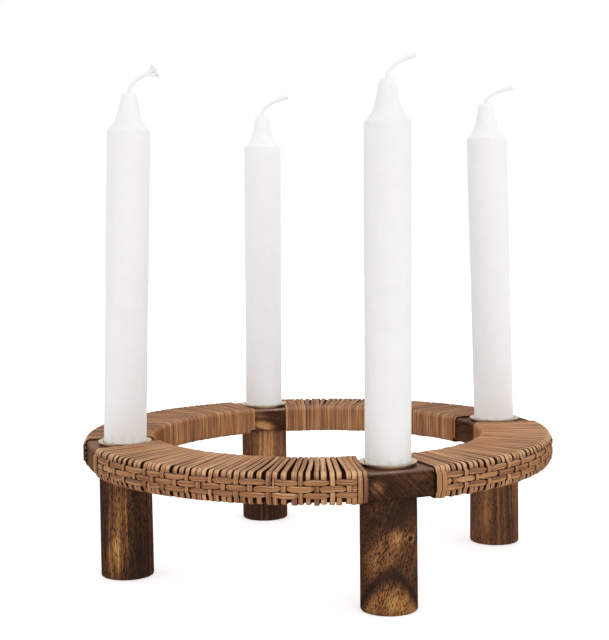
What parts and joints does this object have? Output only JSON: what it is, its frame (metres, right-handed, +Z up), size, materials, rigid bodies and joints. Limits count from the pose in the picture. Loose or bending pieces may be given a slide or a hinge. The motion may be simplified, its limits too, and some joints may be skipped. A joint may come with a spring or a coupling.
{
  "type": "advent candle holder",
  "caption": "Round advent candle holder: a dark wooden ring wound with flat cane on turned legs, with a candle in a metal cup over each leg.",
  "frame": {"origin": "on the table, under the centre of the ring", "axes": "+Z up; the front socket is at -Y, the right one at +X, the back one at +Y and the left one at -X"},
  "size_m": [0.248, 0.248, 0.2582],
  "materials": {
    "stained_wood": "dark stain, satin oil",
    "cane": "natural split cane, semi-gloss rind",
    "cup_brass": "thin pale brass, brushed",
    "wax": "smooth white wax",
    "wick_cotton": "waxed cotton braid",
    "screw_steel": "zinc plated",
    "dowel_beech": "raw beech"
  },
  "bodies": {
    "holder": {"ring_segment_front": "stained_wood", "leg_front": "stained_wood", "leg_screw_front": "screw_steel", "candle_cup_front": "cup_brass", "ring_segment_right": "stained_wood", "leg_right": "stained_wood", "leg_screw_right": "screw_steel", "candle_cup_right": "cup_brass", "ring_segment_back": "stained_wood", "leg_back": "stained_wood", "leg_screw_back": "screw_steel", "candle_cup_back": "cup_brass", "ring_segment_left": "stained_wood", "leg_left": "stained_wood", "leg_screw_left": "screw_steel", "candle_cup_left": "cup_brass", "joint_dowels_front_right": "dowel_beech", "wrap_front_right": "cane", "weaver_upper_front_right": "cane", "weaver_middle_front_right": "cane", "weaver_lower_front_right": "cane", "joint_dowels_back_right": "dowel_beech", "wrap_back_right": "cane", "weaver_upper_back_right": "cane", "weaver_middle_back_right": "cane", "weaver_lower_back_right": "cane", "joint_dowels_back_left": "dowel_beech", "wrap_back_left": "cane", "weaver_upper_back_left": "cane", "weaver_middle_back_left": "cane", "weaver_lower_back_left": "cane", "joint_dowels_front_left": "dowel_beech", "wrap_front_left": "cane", "weaver_upper_front_left": "cane", "weaver_middle_front_left": "cane", "weaver_lower_front_left": "cane"},
    "candle_body_front": {"candle_front": "wax", "wick_front": "wick_cotton"},
    "candle_body_right": {"candle_right": "wax", "wick_right": "wick_cotton"},
    "candle_body_back": {"candle_back": "wax", "wick_back": "wick_cotton"},
    "candle_body_left": {"candle_left": "wax", "wick_left": "wick_cotton"}
  },
  "joints": [
    {"name": "candle_lift_front", "type": "slide", "parent": "holder", "child": "candle_body_front", "axis": [0.0058, -0.0019, 1], "range_m": [0, 0.03]},
    {"name": "candle_lift_right", "type": "slide", "parent": "holder", "child": "candle_body_right", "axis": [-0.0232, 0.0075, 0.9997], "range_m": [0, 0.03]},
    {"name": "candle_lift_back", "type": "slide", "parent": "holder", "child": "candle_body_back", "axis": [0.0083, -0.0027, 1], "range_m": [0, 0.03]},
    {"name": "candle_lift_left", "type": "slide", "parent": "holder", "child": "candle_body_left", "axis": [0.0315, -0.0102, 0.9995], "range_m": [0, 0.03]}
  ]
}
